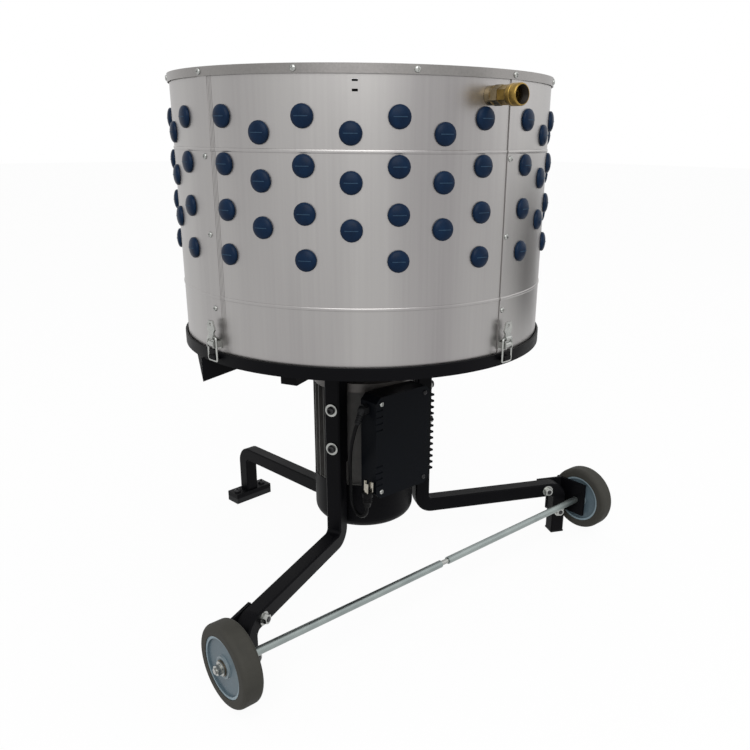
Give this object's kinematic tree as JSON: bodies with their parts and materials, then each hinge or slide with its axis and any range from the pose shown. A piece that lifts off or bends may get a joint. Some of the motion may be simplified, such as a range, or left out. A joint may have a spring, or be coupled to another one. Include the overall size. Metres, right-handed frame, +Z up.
{
  "type": "drum poultry plucker",
  "caption": "Drum poultry plucker: rubber-fingered metal tub with a turning feather plate, latched to a base with motor, control box, hose inlet and wheeled three-legged frame.",
  "frame": {"origin": "on the floor, under the middle of the outline from the hose end to the rear foot", "axes": "+Z up along the drum axis, -Y towards the wheels and control box, +X along the axle to the right wheel"},
  "size_m": [0.812, 0.6942, 0.7949],
  "materials": {
    "drum_sheet": "brushed",
    "zinc": "satin",
    "finger_rubber": "matte",
    "clip_plastic": "matte",
    "brass": "polished",
    "black_paint": "satin",
    "dark_bolt": "satin",
    "pad_rubber": "matte",
    "hub_plastic": "satin",
    "tyre_rubber": "matte",
    "bronze": "satin",
    "motor_cast": "satin",
    "stator_iron": "matte",
    "steel": "satin",
    "plate_metal": "brushed",
    "box_black": "satin",
    "cord_rubber": "matte",
    "prong_metal": "polished"
  },
  "bodies": {
    "machine": {"drum_panel_1": "drum_sheet", "drum_panel_2": "drum_sheet", "drum_panel_3": "drum_sheet", "drum_panel_4": "drum_sheet", "rim_channel": "drum_sheet", "panel_screws": "zinc", "drum_fingers_1": "finger_rubber", "drum_fingers_2": "finger_rubber", "spray_ring": "zinc", "spray_clips": "clip_plastic", "inlet_fitting": "brass", "inlet_nut": "brass", "latch_bases": "zinc", "latch_pins": "zinc", "latch_keepers": "black_paint", "base_pan": "black_paint", "feather_chute": "black_paint", "left_leg": "black_paint", "right_leg": "black_paint", "rear_leg": "black_paint", "frame_bolts": "dark_bolt", "frame_washers": "zinc", "frame_nuts": "zinc", "rubber_feet": "pad_rubber", "left_bracket": "black_paint", "right_bracket": "black_paint", "axle_rod": "zinc", "axle_sleeves": "zinc", "mounting_bell": "motor_cast", "motor_body": "motor_cast", "motor_stator": "stator_iron", "shaft_bearings": "steel", "fan_cowl": "black_paint", "control_box": "box_black", "box_cover": "box_black", "cord_gland": "clip_plastic", "power_cord": "cord_rubber", "power_plug": "cord_rubber", "plug_prongs": "prong_metal"},
    "rotor": {"motor_shaft": "steel", "cooling_fan": "clip_plastic", "drive_hub": "steel", "drive_bolts": "steel", "feather_plate": "plate_metal", "plate_fingers": "finger_rubber"},
    "left_wheel": {"left_hub": "hub_plastic", "left_tyre": "tyre_rubber", "left_bush": "bronze"},
    "right_wheel": {"right_hub": "hub_plastic", "right_tyre": "tyre_rubber", "right_bush": "bronze"},
    "swivel": {"hose_swivel": "brass"},
    "lever_1": {"latch_lever_1": "zinc"},
    "bail_1": {"latch_bail_1": "zinc"},
    "lever_2": {"latch_lever_2": "zinc"},
    "bail_2": {"latch_bail_2": "zinc"},
    "lever_3": {"latch_lever_3": "zinc"},
    "bail_3": {"latch_bail_3": "zinc"},
    "lever_4": {"latch_lever_4": "zinc"},
    "bail_4": {"latch_bail_4": "zinc"}
  },
  "joints": [
    {"name": "rotor_spin", "type": "hinge", "parent": "machine", "child": "rotor", "pos_m": [0, -0.0181, 0.3], "axis": [0, 0, 1], "continuous": true},
    {"name": "left_wheel_spin", "type": "hinge", "parent": "machine", "child": "left_wheel", "pos_m": [0, -0.2106, 0.068], "axis": [1, 0, 0], "continuous": true},
    {"name": "right_wheel_spin", "type": "hinge", "parent": "machine", "child": "right_wheel", "pos_m": [0, -0.2106, 0.068], "axis": [1, 0, 0], "continuous": true},
    {"name": "hose_swivel_spin", "type": "hinge", "parent": "machine", "child": "swivel", "pos_m": [-0.02638, -0.34604, 0.764], "axis": [-0.0802, -0.9968, 0], "continuous": true},
    {"name": "lever_1_swing", "type": "hinge", "parent": "machine", "child": "lever_1", "pos_m": [0.02246, -0.30351, 0.446], "axis": [0.9969, 0.0785, 0], "range_deg": [0, 115]},
    {"name": "bail_1_swing", "type": "hinge", "parent": "lever_1", "child": "bail_1", "pos_m": [0.02246, -0.30351, 0.455], "axis": [0.9969, 0.0785, 0], "range_deg": [-115, 0]},
    {"name": "lever_2_swing", "type": "hinge", "parent": "machine", "child": "lever_2", "pos_m": [0.28542, 0.00437, 0.446], "axis": [-0.0785, 0.9969, 0], "range_deg": [0, 115]},
    {"name": "bail_2_swing", "type": "hinge", "parent": "lever_2", "child": "bail_2", "pos_m": [0.28542, 0.00437, 0.455], "axis": [-0.0785, 0.9969, 0], "range_deg": [-115, 0]},
    {"name": "lever_3_swing", "type": "hinge", "parent": "machine", "child": "lever_3", "pos_m": [-0.02246, 0.26732, 0.446], "axis": [-0.9969, -0.0785, 0], "range_deg": [0, 115]},
    {"name": "bail_3_swing", "type": "hinge", "parent": "lever_3", "child": "bail_3", "pos_m": [-0.02246, 0.26732, 0.455], "axis": [-0.9969, -0.0785, 0], "range_deg": [-115, 0]},
    {"name": "lever_4_swing", "type": "hinge", "parent": "machine", "child": "lever_4", "pos_m": [-0.28542, -0.04056, 0.446], "axis": [0.0785, -0.9969, 0], "range_deg": [0, 115]},
    {"name": "bail_4_swing", "type": "hinge", "parent": "lever_4", "child": "bail_4", "pos_m": [-0.28542, -0.04056, 0.455], "axis": [0.0785, -0.9969, 0], "range_deg": [-115, 0]}
  ],
  "couplings": [
    {"joint": "bail_1_swing", "follows": "lever_1_swing", "ratio": -1},
    {"joint": "bail_2_swing", "follows": "lever_2_swing", "ratio": -1},
    {"joint": "bail_3_swing", "follows": "lever_3_swing", "ratio": -1},
    {"joint": "bail_4_swing", "follows": "lever_4_swing", "ratio": -1}
  ]
}
